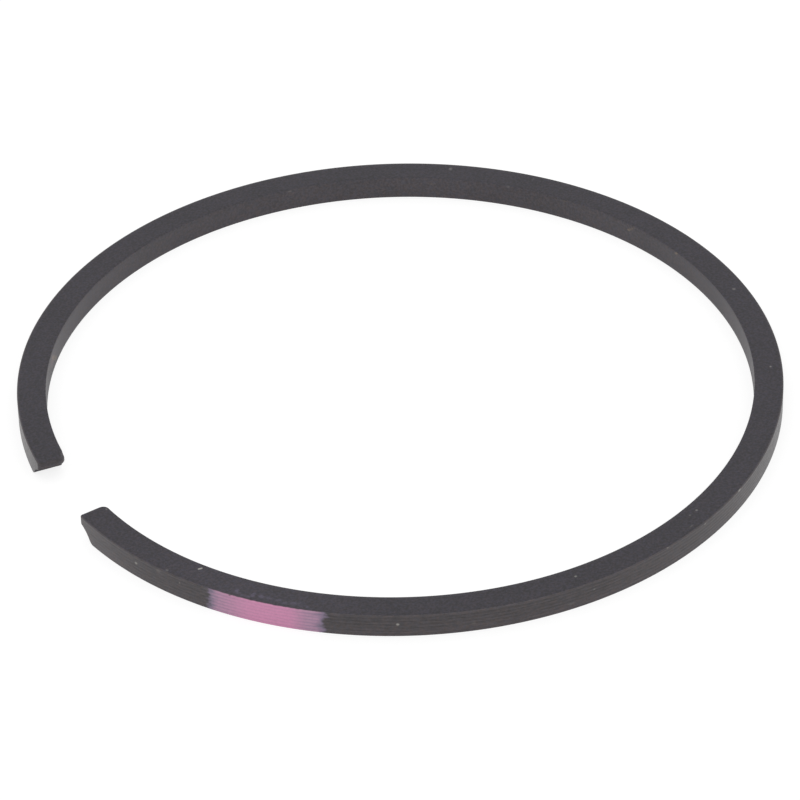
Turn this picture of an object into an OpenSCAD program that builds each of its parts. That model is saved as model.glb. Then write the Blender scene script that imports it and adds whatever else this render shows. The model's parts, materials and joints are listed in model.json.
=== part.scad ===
// Piston ring, shown free, as it lies on a bench before it is sprung into a piston groove.
// One piece of cast iron, open at one gap, with a notch for a locating pin under each end.
// The axis of the ring is Z, the lower flank lies at z = 0 and the gap is centred on -X.

/* [Cylinder] */
// Bore of the cylinder that the ring seals
bore_d = 46; // [35:0.5:70]
// Gap left between the ends once the ring is in that bore
fitted_gap = 0.2; // [0.1:0.05:0.5]

/* [Section] */
// Height of the ring along its axis
ring_h = 1.5; // [1.3:0.05:3]
// Radial thickness of the wall
wall_t = 1.8; // [1.4:0.05:3]
// Break along each long edge
edge_break = 0.03; // [0.02:0.01:0.1]

/* [Running face] */
// Distance from one turned groove to the next
groove_pitch = 0.234; // [0.2:0.002:0.5]
// Width of one turned groove
groove_w = 0.14; // [0.08:0.01:0.18]
// Depth of one turned groove
groove_depth = 0.012; // [0.006:0.001:0.03]

/* [Free shape] */
// Gap between the outer corners of the ends, as if they were sharp, while the ring is free
free_gap = 5.9; // [4:0.1:9]
// Angle over which the free ring follows one true circle
round_angle = 274; // [270:1:290]
// How far the outer corner of each end lies inside that circle
end_tuck = 0.22; // [0.05:0.01:0.4]

/* [Ends] */
// Height of the pin notch up the end face
notch_h = 1; // [0.6:0.05:1.1]
// Length of the pin notch along the lower flank
notch_l = 1.1; // [0.6:0.05:2]
// How far the notch is hollowed below a straight chamfer
notch_hollow = 0.17; // [0.05:0.01:0.25]
// Rounding where the notch meets the end face
notch_edge_r = 0.3; // [0.05:0.01:0.35]
// Rounding where the notch meets the lower flank
notch_foot_r = 0.5; // [0.05:0.01:0.6]
// Rounding of the inner upright corner of each end
inner_corner_r = 0.38; // [0.1:0.02:0.8]
// Rounding of the outer upright corner of each end
outer_corner_r = 0.16; // [0.05:0.01:0.4]

/* [Hidden] */
$fn = 360;

// Finish of the metal
phosphate_grey = [0.28, 0.27, 0.28];
// How far a cutter reaches past the metal
cut_clear = 1;
// How far a rounding runs through the faces that it blends into, so that it meets them at a slight angle
blend_run = 0.002;
// Angle by which each half of the ring runs past the back, where the two halves join
back_overlap = 6;

// Radii are kept to a whole micron
function micron(x) = round(x * 1000) / 1000;

// Outer radius of the round stretch: closing the gap takes its length off the circumference
free_r = micron((bore_d + (free_gap - fitted_gap) / PI) / 2);
half_round = round_angle / 2;

// Each end is a tighter arc that leaves the round stretch along its tangent and stops at the tip
tip_r = free_r - end_tuck;
tip_turn = 180 - asin(free_gap / 2 / tip_r) - half_round;
end_shift = micron((free_r^2 - tip_r^2) / (2 * (free_r - tip_r * cos(tip_turn))));
end_r = free_r - end_shift;
end_inner_r = end_r - wall_t;
end_angle = atan2(tip_r * sin(tip_turn), tip_r * cos(tip_turn) - end_shift);

// As many grooves as the height holds between the edge breaks, centred on it
land_w = groove_pitch - groove_w;
groove_n = floor((ring_h - 2 * edge_break + land_w) / groove_pitch);
groove_z = [for (i = [1 : 1 : groove_n]) ring_h / 2 + (i - (groove_n + 1) / 2) * groove_pitch];

// One turned groove in the section
function groove(r, z) = [[r, z - groove_w / 2], [r - groove_depth, z], [r, z + groove_w / 2]];

// Outline of the wall's section for an outer radius r
function section(r) = concat(
    [[r - wall_t + edge_break, 0], [r - edge_break, 0], [r, edge_break]],
    [for (z = groove_z) each groove(r, z)],
    [[r, ring_h - edge_break], [r - edge_break, ring_h], [r - wall_t + edge_break, ring_h]],
    [[r - wall_t, ring_h - edge_break], [r - wall_t, edge_break]]
);

// What the rounding of an edge takes away: the given corner region outside the rounding circle
module edge_waste(region, centre, r) {
    difference() {
        polygon(region);
        translate(centre) circle(r);
    }
}

// Outline of the pin notch in the plane of the wall's length and height: the end face is at x = 0
// with the metal on -X, and the lower flank at y = 0 with the metal on +Y. The hollow is a circle
// through the notch's top and foot.
module notch_outline() {
    top = [0, notch_h];
    foot = [-notch_l, 0];
    chord = norm(top - foot);
    hollow_r = ((chord / 2)^2 + notch_hollow^2) / (2 * notch_hollow);
    hollow = (top + foot) / 2 + (hollow_r - notch_hollow) * [notch_h, -notch_l] / chord;
    // Centres of the two roundings, and a point inside the hollow in line with each
    edge_inset = notch_edge_r - blend_run;
    foot_inset = notch_foot_r - blend_run;
    edge_reach = hollow_r + edge_inset;
    foot_reach = hollow_r + foot_inset;
    upper = [-edge_inset, hollow.y + sqrt(edge_reach^2 - (edge_inset + hollow.x)^2)];
    lower = [hollow.x - sqrt(foot_reach^2 - (foot_inset - hollow.y)^2), foot_inset];
    upper_in = upper + (hollow - upper) * 2 * notch_edge_r / edge_reach;
    lower_in = lower + (hollow - lower) * 2 * notch_foot_r / foot_reach;

    translate(hollow) circle(hollow_r);
    edge_waste(
        [upper, upper_in, [cut_clear, upper_in.y], [cut_clear, upper.y]],
        upper, notch_edge_r
    );
    edge_waste(
        [lower, [lower.x, -cut_clear], [lower_in.x, -cut_clear], lower_in],
        lower, notch_foot_r
    );
}

// The pin notch, cut through the wall from its inner to its outer side
module notch() {
    translate([end_inner_r - cut_clear, 0, 0])
        rotate([90, 0, 90]) linear_extrude(wall_t + 2 * cut_clear) notch_outline();
}

// Waste of a rounded upright corner, over the whole height of the end. The rounding's centre lies at the
// distances reach from the arc's axis and inset from the end face, and far_r is a radius clear of the wall.
module corner_waste(reach, inset, far_r, r) {
    centre = [sqrt(reach^2 - inset^2), -inset];
    clear = centre * far_r / reach;
    translate([0, 0, -cut_clear]) linear_extrude(ring_h + 2 * cut_clear)
        edge_waste([centre, [centre.x, cut_clear], [clear.x, cut_clear], clear], centre, r);
}

module inner_corner() {
    inset = inner_corner_r - blend_run;
    corner_waste(end_inner_r + inset, inset, end_inner_r - cut_clear, inner_corner_r);
}

module outer_corner() {
    inset = outer_corner_r - blend_run;
    corner_waste(end_r - inset, inset, end_r + cut_clear, outer_corner_r);
}

// Half of the round stretch, up to the X direction from below it
module round_half() {
    sweep = half_round + back_overlap;
    rotate_extrude(start = -sweep, angle = sweep) polygon(section(free_r));
}

// One tucked end, on from the X direction, with its notch and its rounded corners
module tucked_end() {
    translate([end_shift, 0, 0]) difference() {
        rotate_extrude(angle = end_angle) polygon(section(end_r));
        rotate(end_angle) {
            notch();
            inner_corner();
            outer_corner();
        }
    }
}

// The ring is alike on both sides of the gap
module piston_ring() {
    color(phosphate_grey)
        for (side = [0, 1])
            mirror([0, side, 0]) rotate(half_round) {
                round_half();
                tucked_end();
            }
}

piston_ring();
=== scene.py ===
"""Looks of the piston ring: a finely meshed ring in the form of its solid, its dark phosphate finish with
the paint dab, a pale floor, soft light all round and the camera. Lengths are in millimetres until a point
becomes a vertex. The ring's main sizes come from the frame, and the others repeat those of the solid."""

import json
import math

import bmesh
import bpy
from mathutils import Matrix, Vector


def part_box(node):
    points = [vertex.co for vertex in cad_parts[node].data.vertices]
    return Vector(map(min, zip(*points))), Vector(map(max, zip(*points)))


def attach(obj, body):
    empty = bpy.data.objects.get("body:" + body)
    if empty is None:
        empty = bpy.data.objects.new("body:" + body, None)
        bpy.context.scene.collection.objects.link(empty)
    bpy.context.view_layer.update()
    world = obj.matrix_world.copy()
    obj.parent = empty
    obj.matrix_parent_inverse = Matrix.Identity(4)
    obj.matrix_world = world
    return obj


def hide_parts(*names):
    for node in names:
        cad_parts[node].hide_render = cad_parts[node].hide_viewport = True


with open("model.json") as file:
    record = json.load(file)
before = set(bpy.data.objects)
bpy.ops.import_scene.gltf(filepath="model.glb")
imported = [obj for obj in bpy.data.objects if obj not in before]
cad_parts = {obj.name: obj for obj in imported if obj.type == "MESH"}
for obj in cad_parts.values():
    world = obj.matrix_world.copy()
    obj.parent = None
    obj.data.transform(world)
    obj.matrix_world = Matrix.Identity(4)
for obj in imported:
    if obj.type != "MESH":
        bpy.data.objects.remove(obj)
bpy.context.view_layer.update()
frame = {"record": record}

# Sizes of the ring that the frame gives
MM = 0.001
NODE = "piston_ring"
MOUNTS = {mount["name"]: mount["dims"] for mount in frame["record"]["mounts"]}
ring_low, ring_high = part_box(NODE)
HEIGHT = (ring_high.z - ring_low.z) / MM
OUTER_R = MOUNTS["running_face"]["r_mm"]
WALL = OUTER_R - MOUNTS["inner_wall"]["r_mm"]
EDGE = (HEIGHT - MOUNTS["inner_wall"]["length_mm"]) / 2

# Free shape, as in the solid: a round stretch, then a tighter arc to the tip on each side of the gap
FREE_GAP = 5.9
HALF_ROUND = math.radians(137)
END_TUCK = 0.22
TIP_R = OUTER_R - END_TUCK
TIP_TURN = math.pi - math.asin(FREE_GAP / 2 / TIP_R) - HALF_ROUND
END_SHIFT = (OUTER_R**2 - TIP_R**2) / (2 * (OUTER_R - TIP_R * math.cos(TIP_TURN)))
END_R = OUTER_R - END_SHIFT
END_SWEEP = math.atan2(TIP_R * math.sin(TIP_TURN), TIP_R * math.cos(TIP_TURN) - END_SHIFT)
END_LENGTH = END_R * END_SWEEP
HALF_LENGTH = OUTER_R * HALF_ROUND + END_LENGTH

# Turned grooves of the running face
GROOVE_COUNT = 6
GROOVE_PITCH = 0.234
GROOVE_W = 0.14
GROOVE_DEPTH = 0.012
FIRST_GROOVE = HEIGHT / 2 - (GROOVE_COUNT - 1) / 2 * GROOVE_PITCH
GROOVE_HEIGHTS = [FIRST_GROOVE + i * GROOVE_PITCH for i in range(GROOVE_COUNT)]

# Share of the grooves' depth that wear leaves at the tips, and how far from the tips the wear reaches
WORN_GROOVE = 0.3
GROOVE_FULL_FROM = 9.0

# Pin notch under each end, and the rounded upright corners of the end
NOTCH_H = 1.0
NOTCH_L = 1.1
NOTCH_HOLLOW = 0.17
NOTCH_EDGE_R = 0.3
NOTCH_FOOT_R = 0.5
INNER_CORNER_R = 0.38
OUTER_CORNER_R = 0.16

# Rounding worn above and below at the inner corner of the +Y end, by the distance from its face
WORN_EDGE = 0.22
WORN_FULL_TO = 0.35
WORN_TO = 0.80
WORN_SHARE = 0.45

# Fineness of the mesh
ROUND_STEP = math.radians(0.5)
END_STEP = 0.22
TIP_STEPS = 48
TIP_REACH = 1.6
SQUARE_TO = 2.5
RADIAL_FROM = 9.0
EDGE_STEPS = 4
FLAT_STEPS = 6
WELD = 0.0001

# Unrolled section: the running face, the upper flank, the inner wall and the lower flank, one after another
TOP_FROM = HEIGHT
INNER_FROM = TOP_FROM + WALL
LOWER_FROM = INNER_FROM + HEIGHT
SECTION_LENGTH = LOWER_FROM + WALL
CAP_FROM = 2 * SECTION_LENGTH
RING_MAP = "ring_map"


def smooth(x, low, high):
    """0 below low, 1 above high and an even ease between them."""
    t = min(max((x - low) / (high - low), 0.0), 1.0)
    return t * t * (3 - 2 * t)


def steps(low, high, count):
    """count + 1 even values from low to high."""
    return [low + (high - low) * i / count for i in range(count + 1)]


class Notch:
    """The pin notch seen along the wall's thickness, y back from the end face and z up from the lower
    flank: a round hollow that ends in a rounding at the end face and another at the flank."""

    chord = math.hypot(NOTCH_L, NOTCH_H)
    hollow_r = ((chord / 2) ** 2 + NOTCH_HOLLOW**2) / (2 * NOTCH_HOLLOW)
    hollow_y = NOTCH_L / 2 - (hollow_r - NOTCH_HOLLOW) * NOTCH_H / chord
    hollow_z = NOTCH_H / 2 - (hollow_r - NOTCH_HOLLOW) * NOTCH_L / chord
    edge_reach = hollow_r + NOTCH_EDGE_R
    foot_reach = hollow_r + NOTCH_FOOT_R
    edge_z = hollow_z + math.sqrt(edge_reach**2 - (NOTCH_EDGE_R - hollow_y) ** 2)
    foot_y = hollow_y + math.sqrt(foot_reach**2 - (NOTCH_FOOT_R - hollow_z) ** 2)
    hollow_from = NOTCH_EDGE_R + (hollow_y - NOTCH_EDGE_R) * NOTCH_EDGE_R / edge_reach
    hollow_to = foot_y + (hollow_y - foot_y) * NOTCH_FOOT_R / foot_reach

    @classmethod
    def floor(cls, y):
        """Height of the metal's underside at a distance y from the end face."""
        if y < cls.hollow_from:
            return cls.edge_z - math.sqrt(NOTCH_EDGE_R**2 - (y - NOTCH_EDGE_R) ** 2)
        if y < cls.hollow_to:
            return cls.hollow_z + math.sqrt(cls.hollow_r**2 - (y - cls.hollow_y) ** 2)
        if y < cls.foot_y:
            return NOTCH_FOOT_R - math.sqrt(NOTCH_FOOT_R**2 - (y - cls.foot_y) ** 2)
        return 0.0


def wall_at(y):
    """Thickness of the wall at a distance y from the end face, less what the rounded inner corner takes."""
    if y >= INNER_CORNER_R:
        return WALL
    inner_r = END_R - WALL
    centre = math.sqrt((inner_r + INNER_CORNER_R) ** 2 - INNER_CORNER_R**2)
    x = centre - math.sqrt(INNER_CORNER_R**2 - (y - INNER_CORNER_R) ** 2)
    return min(WALL, END_R - math.hypot(x, y))


def outer_corner_at(y):
    """What the rounded outer corner takes off the wall at a distance y from the end face."""
    if y >= OUTER_CORNER_R:
        return 0.0
    centre = math.sqrt((END_R - OUTER_CORNER_R) ** 2 - OUTER_CORNER_R**2)
    x = centre + math.sqrt(OUTER_CORNER_R**2 - (y - OUTER_CORNER_R) ** 2)
    return max(0.0, END_R - math.hypot(x, y))


def edge_round(depth):
    """How far a wall steps back where its long edge is rounded, at that depth below the flank."""
    if depth >= EDGE:
        return 0.0
    return EDGE - math.sqrt(max(EDGE**2 - (EDGE - depth) ** 2, 0.0))


def outer_set_back(z, corner, groove_depth):
    """How far the running face steps back at height z: its long edges, and a groove or the end's corner."""
    groove = max(1 - abs(z - centre) / (GROOVE_W / 2) for centre in GROOVE_HEIGHTS)
    return edge_round(z) + edge_round(HEIGHT - z) + max(groove_depth * groove, corner)


def groove_depth_at(y):
    """Depth of the turned grooves at a distance y from the end face."""
    return GROOVE_DEPTH * (WORN_GROOVE + (1 - WORN_GROOVE) * smooth(y, 0, GROOVE_FULL_FROM))


EDGE_TURNS = steps(0, math.pi / 2, EDGE_STEPS)
EDGE_HEIGHTS = [EDGE * (1 - math.cos(a)) for a in EDGE_TURNS]
EDGE_TOP_HEIGHTS = [HEIGHT - z for z in reversed(EDGE_HEIGHTS)]
GROOVE_POINTS = [z + side * GROOVE_W / 2 for z in GROOVE_HEIGHTS for side in (-1, 0, 1)]
OUTER_HEIGHTS = EDGE_HEIGHTS + GROOVE_POINTS + EDGE_TOP_HEIGHTS


def inner_side(floor, edge):
    """The inner wall from the top down to its floor, with both edges rounded: (how far it steps back,
    height)."""
    upper = [(edge * (1 - math.sin(a)), HEIGHT - edge * (1 - math.cos(a))) for a in EDGE_TURNS]
    lower = [(edge * (1 - math.sin(a)), floor + edge * (1 - math.cos(a))) for a in reversed(EDGE_TURNS)]
    middle = [(0.0, z) for z in steps(HEIGHT - edge, floor + edge, FLAT_STEPS)[1:-1]]
    return upper + middle + lower


def section(wall, floor, inner_edge, corner, groove_depth):
    """The closed outline of one section: (offset in from the outer radius, height, place in the unrolled
    section). Under the notch there is no metal, so no point lies below its floor."""
    flat = steps(corner + EDGE, wall - inner_edge, FLAT_STEPS)
    points = []
    for z in OUTER_HEIGHTS:
        up = max(z, floor)
        points.append((outer_set_back(up, corner, groove_depth), up, up))
    for offset in flat:
        points.append((offset, HEIGHT, TOP_FROM + offset))
    for back, z in inner_side(floor, inner_edge):
        points.append((wall - back, z, INNER_FROM + HEIGHT - z))
    for offset in reversed(flat):
        points.append((offset, floor, LOWER_FROM + WALL - offset))
    return points


def worn_edge(y):
    """Rounding of the inner edges of the worn end at a distance y from its face."""
    full = WORN_EDGE + (EDGE - WORN_EDGE) * smooth(y, WORN_FULL_TO, WORN_TO)
    return min(full, WORN_SHARE * (HEIGHT - Notch.floor(y)))


def end_angle(r, y):
    """Angle of the section y from the end face, at radius r: square to the face near it, radial beyond."""
    radial = smooth(y, SQUARE_TO, RADIAL_FROM)
    return HALF_ROUND + END_SWEEP - (1 - radial) * math.asin(y / r) - radial * y / END_R


def end_section(y, inner_edge):
    """Section of the end on the +Y side, y from its end face: (place along the ring, points, places)."""
    centre = Vector((math.cos(HALF_ROUND), math.sin(HALF_ROUND), 0)) * END_SHIFT
    outline = section(wall_at(y), Notch.floor(y), inner_edge, outer_corner_at(y), groove_depth_at(y))
    points = []
    for offset, z, _ in outline:
        r = END_R - offset
        angle = end_angle(r, y)
        points.append(centre + Vector((r * math.cos(angle), r * math.sin(angle), z)))
    return HALF_LENGTH - y, points, [place for _, _, place in outline]


def round_section(angle):
    """Section of the round stretch at that angle from +X, in the same form."""
    outline = section(WALL, 0.0, EDGE, 0.0, GROOVE_DEPTH)
    points = []
    for offset, z, _ in outline:
        r = OUTER_R - offset
        points.append(Vector((r * math.cos(angle), r * math.sin(angle), z)))
    return OUTER_R * angle, points, [place for _, _, place in outline]


def ring_sections():
    """Every section of the ring in order, from the tip on the -Y side to the tip on the +Y side."""
    tip = [TIP_REACH * (i / TIP_STEPS) ** 2 for i in range(TIP_STEPS)]
    tip += [OUTER_CORNER_R, Notch.hollow_from, Notch.hollow_to, Notch.foot_y]
    rest = steps(TIP_REACH, END_LENGTH, round((END_LENGTH - TIP_REACH) / END_STEP))
    distances = sorted(tip) + rest
    angles = steps(0, HALF_ROUND, round(HALF_ROUND / ROUND_STEP))
    back = [round_section(angle) for angle in reversed(angles[:-1])]
    worn_half = [end_section(y, worn_edge(y)) for y in distances] + back
    half = [end_section(y, EDGE) for y in distances] + back
    mirrored = []
    for along, points, places in half:
        mirrored.append((-along, [Vector((p.x, -p.y, p.z)) for p in points], places))
    return mirrored + worn_half[-2::-1]


# Layout of the texture map for a bake: the unrolled ring in rows, with both end faces after the last row
BAKE_MAP = "OFBake"
BAKE_ROWS = 5
BAKE_SPARE = 4.0
BAKE_MARGIN = 0.012
BAKE_ROW = (2 * HALF_LENGTH + BAKE_SPARE) / BAKE_ROWS

# Places of the end faces in the last row: past the ring's end, by side, and around the section
END_FACE_ALONG = {1: 1.0, -1: 2.4}
END_FACE_AROUND = 1.0


def bake_place(along, around, row):
    """Place of a point of the unrolled ring in the square map."""
    u = (along + HALF_LENGTH - row * BAKE_ROW) / BAKE_ROW
    v = (row + BAKE_MARGIN + (1 - 2 * BAKE_MARGIN) * around / SECTION_LENGTH) / BAKE_ROWS
    return BAKE_MARGIN + (1 - 2 * BAKE_MARGIN) * u, v


def add_face(mesh, corners, maps, row):
    """One face from (vertex, place along, place around) corners, with its place in both maps."""
    face = mesh.faces.new([vertex for vertex, _, _ in corners])
    for loop, (_, along, around) in zip(face.loops, corners):
        loop[maps[0]].uv = along, around
        loop[maps[1]].uv = bake_place(along, around, row)


def add_end_face(mesh, vertices, points, side, maps):
    """The flat end face, which closes the ring at one tip."""
    seen = []
    for vertex, point in zip(vertices, points):
        if all((point - other).length > WELD for _, other in seen):
            seen.append((vertex, point))
    face = mesh.faces.new([vertex for vertex, _ in seen])
    start = points[0]
    first = HALF_LENGTH + END_FACE_ALONG[side]
    for loop, (_, point) in zip(face.loops, seen):
        across = math.hypot(point.x - start.x, point.y - start.y)
        loop[maps[0]].uv = side * (HALF_LENGTH + across), CAP_FROM + point.z
        place = bake_place(first + point.z - HEIGHT, END_FACE_AROUND + across, BAKE_ROWS - 1)
        loop[maps[1]].uv = place


def ring_mesh(name):
    """The whole ring as one closed mesh."""
    sections = ring_sections()
    mesh = bmesh.new()
    maps = mesh.loops.layers.uv.new(RING_MAP), mesh.loops.layers.uv.new(BAKE_MAP)
    rows = [[mesh.verts.new(point * MM) for point in points] for _, points, _ in sections]
    for i in range(len(sections) - 1):
        along, _, places = sections[i]
        next_along, _, next_places = sections[i + 1]
        row = int(((along + next_along) / 2 + HALF_LENGTH) / BAKE_ROW)
        count = len(places)
        for j in range(count):
            k = (j + 1) % count
            turn = 0 if k else SECTION_LENGTH
            corners = [
                (rows[i][j], along, places[j]),
                (rows[i + 1][j], next_along, next_places[j]),
                (rows[i + 1][k], next_along, next_places[k] + turn),
                (rows[i][k], along, places[k] + turn),
            ]
            add_face(mesh, corners, maps, row)
    add_end_face(mesh, rows[0], sections[0][1], -1, maps)
    add_end_face(mesh, rows[-1], sections[-1][1], 1, maps)
    bmesh.ops.remove_doubles(mesh, verts=mesh.verts, dist=WELD * MM)
    bmesh.ops.recalc_face_normals(mesh, faces=mesh.faces)
    data = bpy.data.meshes.new(name)
    mesh.to_mesh(data)
    mesh.free()
    return data


class Shader:
    """The node tree of one material, with one short call for each kind of node."""

    def __init__(self, name):
        self.material = bpy.data.materials.new(name)
        self.material.use_nodes = True
        self.tree = self.material.node_tree
        self.tree.nodes.clear()

    def node(self, kind, **settings):
        made = self.tree.nodes.new(kind)
        for key, value in settings.items():
            setattr(made, key, value)
        return made

    def feed(self, socket, value):
        """Links value to the socket if it is another node's output, and sets it otherwise."""
        if isinstance(value, bpy.types.NodeSocket):
            self.tree.links.new(value, socket)
        else:
            socket.default_value = value

    def math(self, operation, *values):
        made = self.node("ShaderNodeMath", operation=operation)
        for socket, value in zip(made.inputs, values):
            self.feed(socket, value)
        return made.outputs[0]

    def product(self, *values):
        total = values[0]
        for value in values[1:]:
            total = self.math("MULTIPLY", total, value)
        return total

    def ramp(self, value, low, high, start=0.0, stop=1.0):
        """start below low and stop above high, with an even ease between them. high may lie below low."""
        made = self.node("ShaderNodeMapRange", interpolation_type="SMOOTHSTEP")
        if high < low:
            low, high, start, stop = high, low, stop, start
        for key, number in zip((0, 1, 2, 3, 4), (value, low, high, start, stop)):
            self.feed(made.inputs[key], number)
        return made.outputs[0]

    def swing(self, value, limits, depth):
        """From -depth to depth as the value rises between the limits."""
        return self.ramp(value, *limits, -depth, depth)

    def band(self, value, low, high, ease):
        """1 between low and high, and 0 outside them."""
        rise = self.ramp(value, low - ease, low + ease)
        fall = self.ramp(value, high + ease, high - ease)
        return self.math("MULTIPLY", rise, fall)

    def mix(self, share, first, second):
        made = self.node("ShaderNodeMix", data_type="RGBA")
        self.feed(made.inputs["Factor"], share)
        self.feed(made.inputs[6], first)
        self.feed(made.inputs[7], second)
        return made.outputs[2]

    def sum(self, *values):
        total = values[0]
        for value in values[1:]:
            total = self.math("ADD", total, value)
        return total

    def most(self, *values):
        largest = values[0]
        for value in values[1:]:
            largest = self.math("MAXIMUM", largest, value)
        return largest

    def tint(self, colour, factors):
        made = self.node("ShaderNodeVectorMath", operation="MULTIPLY")
        self.feed(made.inputs[0], colour)
        self.feed(made.inputs[1], factors)
        return made.outputs[0]

    def spot(self, vector, centre, half_size, core):
        """1 inside an ellipse's core, which is that share of the ellipse, easing to 0 at its rim."""
        off = self.node("ShaderNodeVectorMath", operation="SUBTRACT")
        self.feed(off.inputs[0], vector)
        off.inputs[1].default_value = (*centre, 0.0)
        scaled = self.node("ShaderNodeVectorMath", operation="DIVIDE")
        self.feed(scaled.inputs[0], off.outputs[0])
        scaled.inputs[1].default_value = (*half_size, 1.0)
        length = self.node("ShaderNodeVectorMath", operation="LENGTH")
        self.feed(length.inputs[0], scaled.outputs[0])
        return self.ramp(length.outputs["Value"], 1.0, core)

    def scale_colour(self, colour, factor):
        made = self.node("ShaderNodeVectorMath", operation="SCALE")
        self.feed(made.inputs[0], colour)
        self.feed(made.inputs["Scale"], factor)
        return made.outputs[0]

    def vector(self, x, y, z=0.0):
        made = self.node("ShaderNodeCombineXYZ")
        for socket, value in zip(made.inputs, (x, y, z)):
            self.feed(socket, value)
        return made.outputs[0]

    def noise(self, vector, scale, detail=2.0, roughness=0.5):
        made = self.node("ShaderNodeTexNoise")
        self.feed(made.inputs["Vector"], vector)
        made.inputs["Scale"].default_value = scale
        made.inputs["Detail"].default_value = detail
        made.inputs["Roughness"].default_value = roughness
        return made.outputs[0]


def srgb(red, green, blue):
    """A colour written as screen values from 0 to 255, as the linear colour that a shader takes."""
    linear = []
    for value in (red, green, blue):
        share = value / 255
        linear.append(share / 12.92 if share <= 0.04045 else ((share + 0.055) / 1.055) ** 2.4)
    return (*linear, 1.0)


# Base colours of the finish. The lower flank's is lightened with painted light, as if lit from below
TOP_GREY = srgb(42, 38, 46)
RUNNING_GREY = srgb(60, 54, 57)
INNER_GREY = srgb(61, 56, 61)
END_GREY = srgb(53, 47, 51)
# Painted light: the lower flank and the notch are a lighter grey than the top, standing in for light from
# below
LOWER_PAINTED_LIGHT_GREY = srgb(75, 70, 74)
SPECK_GREY = srgb(165, 163, 157)
SPECK_OCHRE = srgb(150, 132, 104)
TINGE_RED = srgb(112, 92, 97)
TINT_COOL = (0.91, 0.99, 1.07, 1.0)
TINT_WARM = (1.09, 1.01, 0.93, 1.0)
FACE_EASE = 0.02

# Patterns on the metal, as spots to the metre
GRAIN_SCALE = 6500.0
HUE_SCALE = 4600.0
EDGE_LIGHTENING_SCALE = 900.0
MOTTLE_SCALE = 420.0

# Patterns on the unrolled ring, as spots to the millimetre along it and around it
LINE_STREAKS = (0.12, 15.0)
BLOTCH_STREAKS = (1.8, 9.0)
MARGIN_STREAKS = (1.2, 3.0)
DENT_STREAKS = (2.4, 0.0)
WISP_STREAKS = (3.2, 5.0)

# Limits between which a pattern's values rise, from nearly all of them to only the middle ones
NOISE_ALL = (0.2, 0.8)
NOISE_WIDE = (0.25, 0.75)
NOISE_MIDDLE = (0.3, 0.7)
NOISE_NARROW = (0.35, 0.65)

# Depth of the patterns as a share of the metal's colour, with what the grain has more on a face
GRAIN_DEPTH = 0.34
GRAIN_MORE_TOP = 0.32
GRAIN_MORE_RUNNING = -0.16
MOTTLE_DEPTH = 0.07
LINE_DEPTH = 0.12
BLOTCH_DEPTH = 0.22

# Painted light that lightens the running face low on it, towards the floor, and patches that lighten it
# along its upper edge
LOW_PAINTED_LIGHT = 0.24
LOW_PAINTED_LIGHT_FROM = 0.85
LOW_PAINTED_LIGHT_FULL = 0.12
EDGE_LIGHTENING = (0.06, 0.32)
EDGE_LIGHTENING_BELOW = 0.03
EDGE_LIGHTENING_REACH = 0.11
EDGE_LIGHTENING_FULL = 0.02

# Shade in the turned grooves: half its width, and its strength by the distance from the back
GROOVE_SHADE_W = 0.075
GROOVE_DARK = -0.26
GROOVE_DARK_TO = 60.0
GROOVE_FAINT = -0.05
GROOVE_FAINT_FROM = 67.0

# Roughness of the grain, what each face has more, and the grain's relief
ROUGH_GRAIN = (0.56, 0.68)
ROUGH_RUNNING = -0.25
ROUGH_INNER = -0.12
ROUGH_LOWER = 0.2
BUMP_STRENGTH = 0.4
BUMP_DEPTH = 0.006

# The rounded upper edge has the look of the running face, a little way onto the flank
RIM = 0.07
RIM_EASE = 0.05

# Small marks: degrees from the back, place around the section, half-lengths along and around, strength
PALE_SPECKS = [
    (-171.8, TOP_FROM + 1.64, 0.12, 0.08, 0.30),
    (-159.8, 1.03, 0.16, 0.12, 0.55),
    (-155.5, 1.34, 0.30, 0.17, 0.10),
    (-154.2, TOP_FROM + 0.20, 0.15, 0.14, 0.20),
    (-151.6, 1.14, 0.07, 0.13, 0.22),
    (-150.4, TOP_FROM + 1.33, 0.10, 0.12, 0.85),
    (-150.27, TOP_FROM + 1.39, 0.10, 0.12, 0.95),
    (-150.15, TOP_FROM + 1.45, 0.10, 0.12, 0.85),
    (-118.9, 0.89, 0.14, 0.12, 0.75),
    (-108.2, 0.57, 0.20, 0.18, 0.08),
    (-93.7, 0.45, 0.35, 0.12, 0.12),
    (-91.7, TOP_FROM + 1.00, 0.14, 0.11, 0.45),
    (-90.0, 0.95, 0.14, 0.10, 0.22),
    (-76.9, 1.49, 0.12, 0.07, 0.30),
    (-70.8, TOP_FROM + 0.40, 0.28, 0.08, 0.12),
    (-68.9, TOP_FROM + 1.12, 0.12, 0.10, 0.18),
    (-68.8, 1.36, 0.15, 0.08, 0.40),
    (-67.3, TOP_FROM + 1.10, 0.13, 0.11, 0.36),
    (-59.6, 1.46, 0.25, 0.08, 0.65),
    (-28.0, TOP_FROM + 0.74, 0.13, 0.10, 0.36),
    (-6.4, TOP_FROM + 0.82, 0.18, 0.16, 0.24),
    (39.2, TOP_FROM + 0.45, 0.13, 0.26, 0.06),
    (42.4, INNER_FROM, 0.20, 0.17, 0.12),
    (53.0, TOP_FROM + 0.52, 0.18, 0.24, 0.22),
    (80.5, INNER_FROM + 0.08, 0.24, 0.09, 0.16),
]
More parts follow.
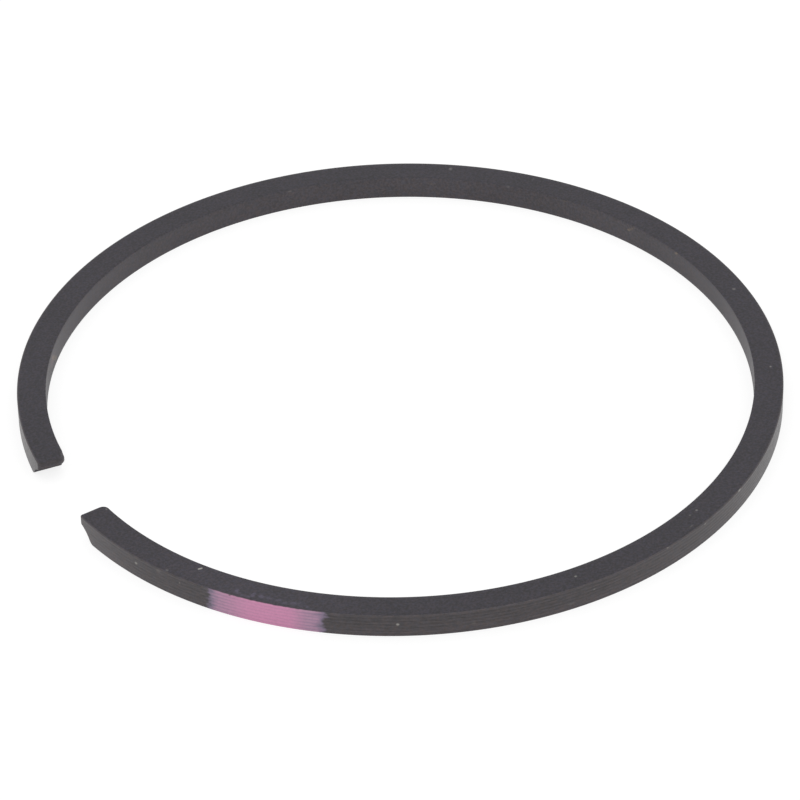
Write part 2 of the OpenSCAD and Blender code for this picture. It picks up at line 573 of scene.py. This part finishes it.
OCHRE_SPECKS = [
    (7.2, INNER_FROM + 0.07, 0.17, 0.10, 0.32),
    (7.5, INNER_FROM + 0.14, 0.17, 0.10, 0.32),
    (17.6, INNER_FROM + 0.08, 0.17, 0.13, 0.10),
    (18.0, INNER_FROM + 0.22, 0.17, 0.13, 0.14),
    (18.4, INNER_FROM + 0.35, 0.18, 0.13, 0.17),
    (18.8, INNER_FROM + 0.47, 0.20, 0.12, 0.32),
    (30.2, INNER_FROM + 0.12, 0.20, 0.09, 0.08),
    (32.0, INNER_FROM + 0.12, 0.34, 0.08, 0.10),
    (55.7, INNER_FROM + 0.42, 0.38, 0.09, 0.09),
    (141.2, INNER_FROM + 1.08, 0.30, 0.22, 0.30),
    (141.9, INNER_FROM + 0.90, 0.30, 0.22, 0.32),
    (142.6, INNER_FROM + 0.70, 0.30, 0.22, 0.32),
    (143.3, INNER_FROM + 0.50, 0.30, 0.22, 0.30),
]
RED_TINGE = [(143.7, INNER_FROM + 0.60, 0.90, 0.55, 0.40)]
PALE_HAZE = [(-144.0, TOP_FROM + 0.90, 13.0, 3.00, 0.34)]
SPECK_CORE = 0.15
HAZE_CORE = 0.1

# Paint dab on the running face, beside the gap on the -Y side, by its distance along the ring from the back
DAB_START = -61.2
DAB_FULL = -58.0
DAB_THIN = -56.3
DAB_FADED = -54.7
DAB_STOP = -53.94
DAB_SOFT = 0.16
DAB_FRINGE = 0.64
PAINT_PINK = srgb(201, 135, 170)
PAINT_MAUVE = srgb(170, 132, 157)
PAINT_LILAC = srgb(114, 103, 124)
PAINT_VIOLET = srgb(108, 102, 128)
PAINT_GAPS = [(-143.3, TOP_FROM + 0.03, 0.13, 0.10, 0.80)]
PAINT_GRAIN = 0.06

# Edges of the dab: its ragged margins, combed by the grooves, and its dented upper edge
MARGIN_RAGGED = 0.24
MARGIN_COMBED = -0.05
DENT_LIMITS = (0.4, 0.7)
DENT_DEPTH = 0.04
PAINT_WHOLE_BELOW = 0.01
PAINT_NONE_ABOVE = 0.14

# Share of violet in the dab's grooves, from its thin coat to its full one
GROOVE_VIOLET = (0.42, 0.16)
FULL_COAT = 0.9

# Wisps of paint on the upper flank, in the form of the small marks, and how they break up
WISP_VIOLET = srgb(86, 79, 99)
WISPS = [
    (-144.8, TOP_FROM + 0.26, 0.18, 0.14, 0.30),
    (-142.8, TOP_FROM + 0.57, 0.22, 0.26, 0.85),
    (-142.4, TOP_FROM + 0.40, 0.38, 0.16, 0.45),
    (-141.6, TOP_FROM + 0.33, 0.34, 0.14, 0.55),
    (-140.9, TOP_FROM + 0.33, 0.34, 0.16, 0.50),
    (-140.2, TOP_FROM + 0.57, 0.22, 0.33, 0.80),
    (-139.0, TOP_FROM + 0.58, 0.38, 0.29, 0.55),
    (-137.8, TOP_FROM + 0.55, 0.46, 0.29, 0.40),
    (-136.2, TOP_FROM + 0.52, 0.46, 0.29, 0.50),
    (-135.3, TOP_FROM + 0.42, 0.40, 0.24, 0.40),
    (-134.0, TOP_FROM + 0.50, 0.40, 0.26, 0.55),
    (-133.1, TOP_FROM + 0.61, 0.25, 0.22, 0.55),
    (-132.7, TOP_FROM + 0.40, 0.34, 0.20, 0.50),
    (-131.9, TOP_FROM + 0.38, 0.22, 0.20, 0.45),
]
WISP_CORE = 0.1
WISP_LIMITS = (0.35, 0.6)
WISP_FAINT = 0.3


class Finish:
    """The material under work: its shader, the places that its patterns follow and the faces' shares."""

    def __init__(self, name):
        self.s = s = Shader(name)
        self.ring_map = s.node("ShaderNodeUVMap", uv_map=RING_MAP).outputs[0]
        split = s.node("ShaderNodeSeparateXYZ")
        s.feed(split.inputs[0], self.ring_map)
        self.along, self.around = split.outputs[0], split.outputs[1]
        self.place = s.node("ShaderNodeTexCoord").outputs["Object"]
        below_rim = s.ramp(self.around, TOP_FROM + RIM + RIM_EASE, TOP_FROM + RIM - RIM_EASE)
        below_inner = s.ramp(self.around, INNER_FROM + FACE_EASE, INNER_FROM - FACE_EASE)
        self.on_running = s.math("MULTIPLY", below_rim, s.ramp(self.around, -FACE_EASE, FACE_EASE))
        self.on_top = s.math("SUBTRACT", below_inner, below_rim)
        self.on_inner = s.band(self.around, INNER_FROM, LOWER_FROM, FACE_EASE)
        self.on_lower = s.band(self.around, LOWER_FROM, SECTION_LENGTH, FACE_EASE)
        self.on_end = s.math("GREATER_THAN", self.around, (SECTION_LENGTH + CAP_FROM) / 2)
        self.grain = s.noise(self.place, GRAIN_SCALE, roughness=0.6)
        self.lines = self.streaks(LINE_STREAKS)
        from_groove = s.math("PINGPONG", s.math("SUBTRACT", self.around, FIRST_GROOVE), GROOVE_PITCH / 2)
        below_edge = s.ramp(self.around, TOP_FROM, TOP_FROM - FACE_EASE)
        self.in_groove = s.product(self.on_running, below_edge, s.ramp(from_groove, GROOVE_SHADE_W, 0.0))

    def streaks(self, scales, detail=2.0):
        """A pattern on the unrolled ring, with its own scale along it and around it."""
        s = self.s
        along = s.math("MULTIPLY", self.along, scales[0])
        around = s.math("MULTIPLY", self.around, scales[1])
        return s.noise(s.vector(along, around), 1.0, detail)

    def marks(self, places, core):
        """All the small marks of a list as one share."""
        s = self.s
        spots = []
        for degrees, around, half_along, half_around, strength in places:
            centre = OUTER_R * math.radians(degrees), around
            spot = s.spot(self.ring_map, centre, (half_along, half_around), core)
            spots.append(s.math("MULTIPLY", spot, strength))
        return s.most(*spots)

    def running_shade(self):
        """What makes the running face lighter or darker: its turned lines, its grooves, painted light low
        on it and lighter patches along its upper edge.
        """
        s = self.s
        lines = s.swing(self.lines, NOISE_MIDDLE, LINE_DEPTH)
        blotches = s.swing(self.streaks(BLOTCH_STREAKS), NOISE_MIDDLE, BLOTCH_DEPTH)
        # Painted light: the running face lighter low down, towards the floor
        low_painted_light = s.ramp(self.around, LOW_PAINTED_LIGHT_FROM, LOW_PAINTED_LIGHT_FULL, 0.0, LOW_PAINTED_LIGHT)
        # Lighter in patches along the upper edge of the running face
        edge_lightening = s.ramp(s.noise(self.place, EDGE_LIGHTENING_SCALE, detail=3.0), *NOISE_NARROW, *EDGE_LIGHTENING)
        from_edge = s.math("ABSOLUTE", s.math("SUBTRACT", self.around, TOP_FROM - EDGE_LIGHTENING_BELOW))
        near_edge = s.ramp(from_edge, EDGE_LIGHTENING_REACH, EDGE_LIGHTENING_FULL)
        from_back = s.math("ABSOLUTE", self.along)
        groove_shade = s.ramp(from_back, GROOVE_DARK_TO, GROOVE_FAINT_FROM, GROOVE_DARK, GROOVE_FAINT)
        groove = s.math("MULTIPLY", self.in_groove, groove_shade)
        shade = s.sum(lines, blotches, low_painted_light, groove, s.math("MULTIPLY", near_edge, edge_lightening))
        return s.math("MULTIPLY", self.on_running, shade)

    def metal(self):
        """Colour of the bare phosphated metal, with its grain, turned lines, lighter patches at the upper
        edge and small marks, and painted light on the lower flank and low on the running face.
        """
        s = self.s
        colour = s.mix(self.on_inner, TOP_GREY, INNER_GREY)
        # Painted light from below on the lower flank and the notch
        colour = s.mix(self.on_lower, colour, LOWER_PAINTED_LIGHT_GREY)
        colour = s.mix(self.on_end, colour, END_GREY)
        colour = s.mix(self.on_running, colour, RUNNING_GREY)
        hue = s.ramp(s.noise(self.place, HUE_SCALE), *NOISE_MIDDLE)
        colour = s.tint(colour, s.mix(hue, TINT_COOL, TINT_WARM))

        mottle = s.noise(self.place, MOTTLE_SCALE, detail=3.0, roughness=0.55)
        mottle = s.swing(mottle, NOISE_MIDDLE, MOTTLE_DEPTH)
        more_on_top = s.math("MULTIPLY", self.on_top, GRAIN_MORE_TOP)
        more_on_running = s.math("MULTIPLY", self.on_running, GRAIN_MORE_RUNNING)
        grain_depth = s.sum(GRAIN_DEPTH, more_on_top, more_on_running)
        grain = s.math("MULTIPLY", s.swing(self.grain, NOISE_WIDE, 1.0), grain_depth)
        haze = s.math("MULTIPLY", self.on_top, self.marks(PALE_HAZE, HAZE_CORE))
        colour = s.scale_colour(colour, s.sum(1.0, grain, mottle, haze, self.running_shade()))

        colour = s.mix(self.marks(RED_TINGE, HAZE_CORE), colour, TINGE_RED)
        colour = s.mix(self.marks(PALE_SPECKS, SPECK_CORE), colour, SPECK_GREY)
        return s.mix(self.marks(OCHRE_SPECKS, SPECK_CORE), colour, SPECK_OCHRE)

    def paint(self, colour):
        """The same colour with the paint dab over it, and its wisps on the upper flank."""
        s = self.s
        ragged = s.swing(self.streaks(MARGIN_STREAKS, detail=3.0), NOISE_WIDE, MARGIN_RAGGED)
        combed = s.math("MULTIPLY", self.in_groove, MARGIN_COMBED)
        from_start = s.sum(self.along, ragged, combed, -DAB_START)
        to_stop = s.sum(DAB_STOP, ragged, combed, s.math("MULTIPLY", self.along, -1.0))
        inside = s.math("MINIMUM", from_start, to_stop)
        dents = s.ramp(self.streaks(DENT_STREAKS, detail=3.0), *DENT_LIMITS, 0.0, DENT_DEPTH)
        height = s.math("ADD", self.around, dents)
        below_edge = s.ramp(height, TOP_FROM + PAINT_NONE_ABOVE, TOP_FROM - PAINT_WHOLE_BELOW)
        whole = s.math("SUBTRACT", 1.0, self.marks(PAINT_GAPS, SPECK_CORE))
        painted = s.product(s.ramp(inside, -DAB_SOFT, DAB_SOFT), below_edge, whole)

        thickens = s.ramp(self.along, DAB_START, DAB_FULL)
        full = s.math("MULTIPLY", thickens, s.ramp(self.along, DAB_FADED, DAB_THIN))
        hue = s.mix(full, PAINT_MAUVE, PAINT_PINK)
        thin = s.math("MULTIPLY", self.in_groove, s.ramp(full, 0.0, FULL_COAT, *GROOVE_VIOLET))
        hue = s.mix(thin, hue, PAINT_VIOLET)
        hue = s.mix(s.ramp(inside, DAB_FRINGE, 0.0), hue, PAINT_LILAC)
        hue = s.scale_colour(hue, s.ramp(self.grain, *NOISE_WIDE, 1 - PAINT_GRAIN, 1 + PAINT_GRAIN))
        colour = s.mix(painted, colour, hue)

        breaks = s.ramp(self.streaks(WISP_STREAKS, detail=3.0), *WISP_LIMITS, WISP_FAINT, 1.0)
        return s.mix(s.math("MULTIPLY", self.marks(WISPS, WISP_CORE), breaks), colour, WISP_VIOLET)

    def roughness(self):
        """The running face is smoothest, then the inner wall and the ends. The lower flank is dull."""
        s = self.s
        return s.sum(
            s.ramp(self.grain, *NOISE_ALL, *ROUGH_GRAIN),
            s.math("MULTIPLY", self.on_running, ROUGH_RUNNING),
            s.math("MULTIPLY", s.math("ADD", self.on_inner, self.on_end), ROUGH_INNER),
            s.math("MULTIPLY", self.on_lower, ROUGH_LOWER),
        )

    def bump(self):
        """Relief of the grain, and of the fine lines on the running face."""
        s = self.s
        made = s.node("ShaderNodeBump")
        made.inputs["Strength"].default_value = BUMP_STRENGTH
        made.inputs["Distance"].default_value = BUMP_DEPTH * MM
        lines = s.math("MULTIPLY", self.on_running, self.lines)
        s.feed(made.inputs["Height"], s.math("ADD", self.grain, lines))
        return made.outputs[0]


def phosphated_iron():
    """Dark phosphate over cast iron, with the paint dab."""
    finish = Finish("phosphated_iron")
    s = finish.s
    surface = s.node("ShaderNodeBsdfPrincipled")
    s.feed(surface.inputs["Base Color"], finish.paint(finish.metal()))
    s.feed(surface.inputs["Roughness"], finish.roughness())
    s.feed(surface.inputs["Normal"], finish.bump())
    surface.inputs["Metallic"].default_value = 0.0
    surface.inputs["IOR"].default_value = 1.5
    output = s.node("ShaderNodeOutputMaterial")
    s.feed(output.inputs["Surface"], surface.outputs[0])
    return s.material


SMOOTH_BELOW = math.radians(32)


def build_ring():
    """The visible ring, which stands for the solid and keeps its form."""
    data = ring_mesh("ring_metal")
    data.polygons.foreach_set("use_smooth", [True] * len(data.polygons))
    data.set_sharp_from_angle(angle=SMOOTH_BELOW)
    data.materials.append(phosphated_iron())
    ring = bpy.data.objects.new("ring_metal", data)
    bpy.context.scene.collection.objects.link(ring)
    normals = ring.modifiers.new("even_normals", "WEIGHTED_NORMAL")
    normals.keep_sharp = True
    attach(ring, "root")
    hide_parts(NODE)


# Floor, with its lengths in metres
FLOOR_REACH = 2.0
FLOOR_DROP = 0.000002
FLOOR_WHITE = 0.8
FLOOR_SHADOW = 0.25
FLOOR_GLOW = 0.81


def floor_material():
    """White floor. A camera, a gloss or a clear surface sees it as white paper with a faint shadow."""
    s = Shader("floor_white")
    path = s.node("ShaderNodeLightPath").outputs
    seen = s.math("MAXIMUM", path["Is Camera Ray"], path["Is Glossy Ray"])
    seen = s.math("MAXIMUM", seen, path["Is Transmission Ray"])
    grey = s.math("ADD", FLOOR_WHITE, s.math("MULTIPLY", seen, FLOOR_SHADOW - FLOOR_WHITE))
    diffuse = s.node("ShaderNodeBsdfDiffuse")
    s.feed(diffuse.inputs["Color"], s.vector(grey, grey, grey))
    glow = s.node("ShaderNodeEmission")
    s.feed(glow.inputs["Strength"], s.math("MULTIPLY", seen, FLOOR_GLOW))
    both = s.node("ShaderNodeAddShader")
    s.feed(both.inputs[0], diffuse.outputs[0])
    s.feed(both.inputs[1], glow.outputs[0])
    output = s.node("ShaderNodeOutputMaterial")
    s.feed(output.inputs["Surface"], both.outputs[0])
    return s.material


def build_floor():
    data = bpy.data.meshes.new("floor")
    level = ring_low.z - FLOOR_DROP
    square = ((-1, -1), (1, -1), (1, 1), (-1, 1))
    corners = [(x * FLOOR_REACH, y * FLOOR_REACH, level) for x, y in square]
    data.from_pydata(corners, [], [(0, 1, 2, 3)])
    data.materials.append(floor_material())
    floor = bpy.data.objects.new("floor", data)
    bpy.context.scene.collection.objects.link(floor)


def build_light():
    """Even white light from all round, as in a light tent."""
    world = bpy.data.worlds.new("light_tent")
    world.use_nodes = True
    background = world.node_tree.nodes["Background"]
    background.inputs["Color"].default_value = (1.0, 1.0, 1.0, 1.0)
    background.inputs["Strength"].default_value = 1.0
    bpy.context.scene.world = world


# Camera, fitted to the ring's edges in the photograph, which is 800 pixels wide
PHOTO_W = 800
SENSOR_W = 36.0
FOCAL_PIXELS = 4653.3
VIEW_ELEVATION = math.radians(36.372)
VIEW_AZIMUTH = math.radians(-27.825)
VIEW_ROLL = math.radians(-1.382)
VIEW_PLACE = (-0.001, -234.794, 172.475)
CLIP_START = 10.0


def build_camera():
    """The camera stands at VIEW_PLACE in a frame turned by VIEW_AZIMUTH about the ring's axis."""
    turned = Matrix.Rotation(VIEW_AZIMUTH, 3, "Z")
    right = turned @ Vector((1, 0, 0))
    ahead = turned @ Vector((0, math.cos(VIEW_ELEVATION), -math.sin(VIEW_ELEVATION)))
    up = right.cross(ahead)
    level = Matrix((right, up, -ahead)).transposed()
    data = bpy.data.cameras.new("camera")
    data.sensor_width = SENSOR_W
    data.lens = FOCAL_PIXELS * SENSOR_W / PHOTO_W
    data.clip_start = CLIP_START * MM
    camera = bpy.data.objects.new("camera", data)
    place = Matrix.Translation(turned @ Vector(VIEW_PLACE) * MM)
    camera.matrix_world = place @ (level @ Matrix.Rotation(VIEW_ROLL, 3, "Z")).to_4x4()
    bpy.context.scene.collection.objects.link(camera)
    bpy.context.scene.camera = camera


build_ring()
build_floor()
build_light()
build_camera()
bpy.context.scene.view_settings.view_transform = "Standard"
